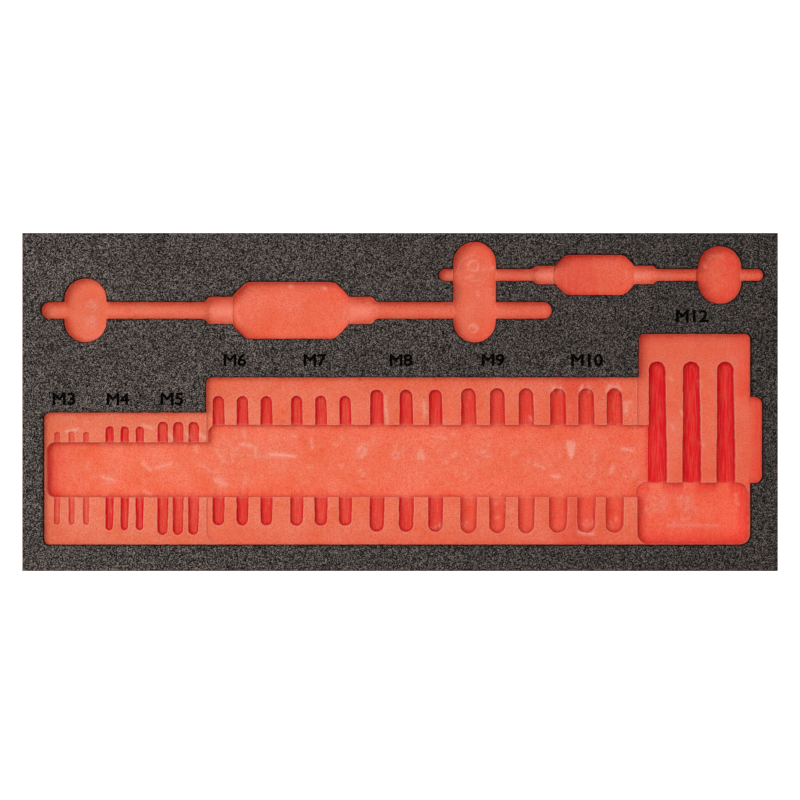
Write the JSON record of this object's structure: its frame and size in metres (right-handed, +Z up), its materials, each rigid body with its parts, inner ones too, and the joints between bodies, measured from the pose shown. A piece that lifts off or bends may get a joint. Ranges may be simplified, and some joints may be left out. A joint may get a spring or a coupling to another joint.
{
  "type": "tool drawer foam inlay",
  "caption": "Two-colour foam inlay for a tool-chest drawer, milled with stepped seats for metric hand taps and two tap wrenches.",
  "frame": {"origin": "middle of the underside", "axes": "+X along the block towards the largest taps, +Y towards the tap wrenches, +Z up out of the pockets"},
  "size_m": [0.42, 0.188, 0.03],
  "materials": {
    "red_foam": "milled closed-cell polyethylene foam, matte",
    "black_foam": "closed-cell polyethylene foam sheet, matte with fine open cells"
  },
  "bodies": {
    "root": {"core_block": "red_foam", "face_sheet": "black_foam"}
  },
  "joints": []
}
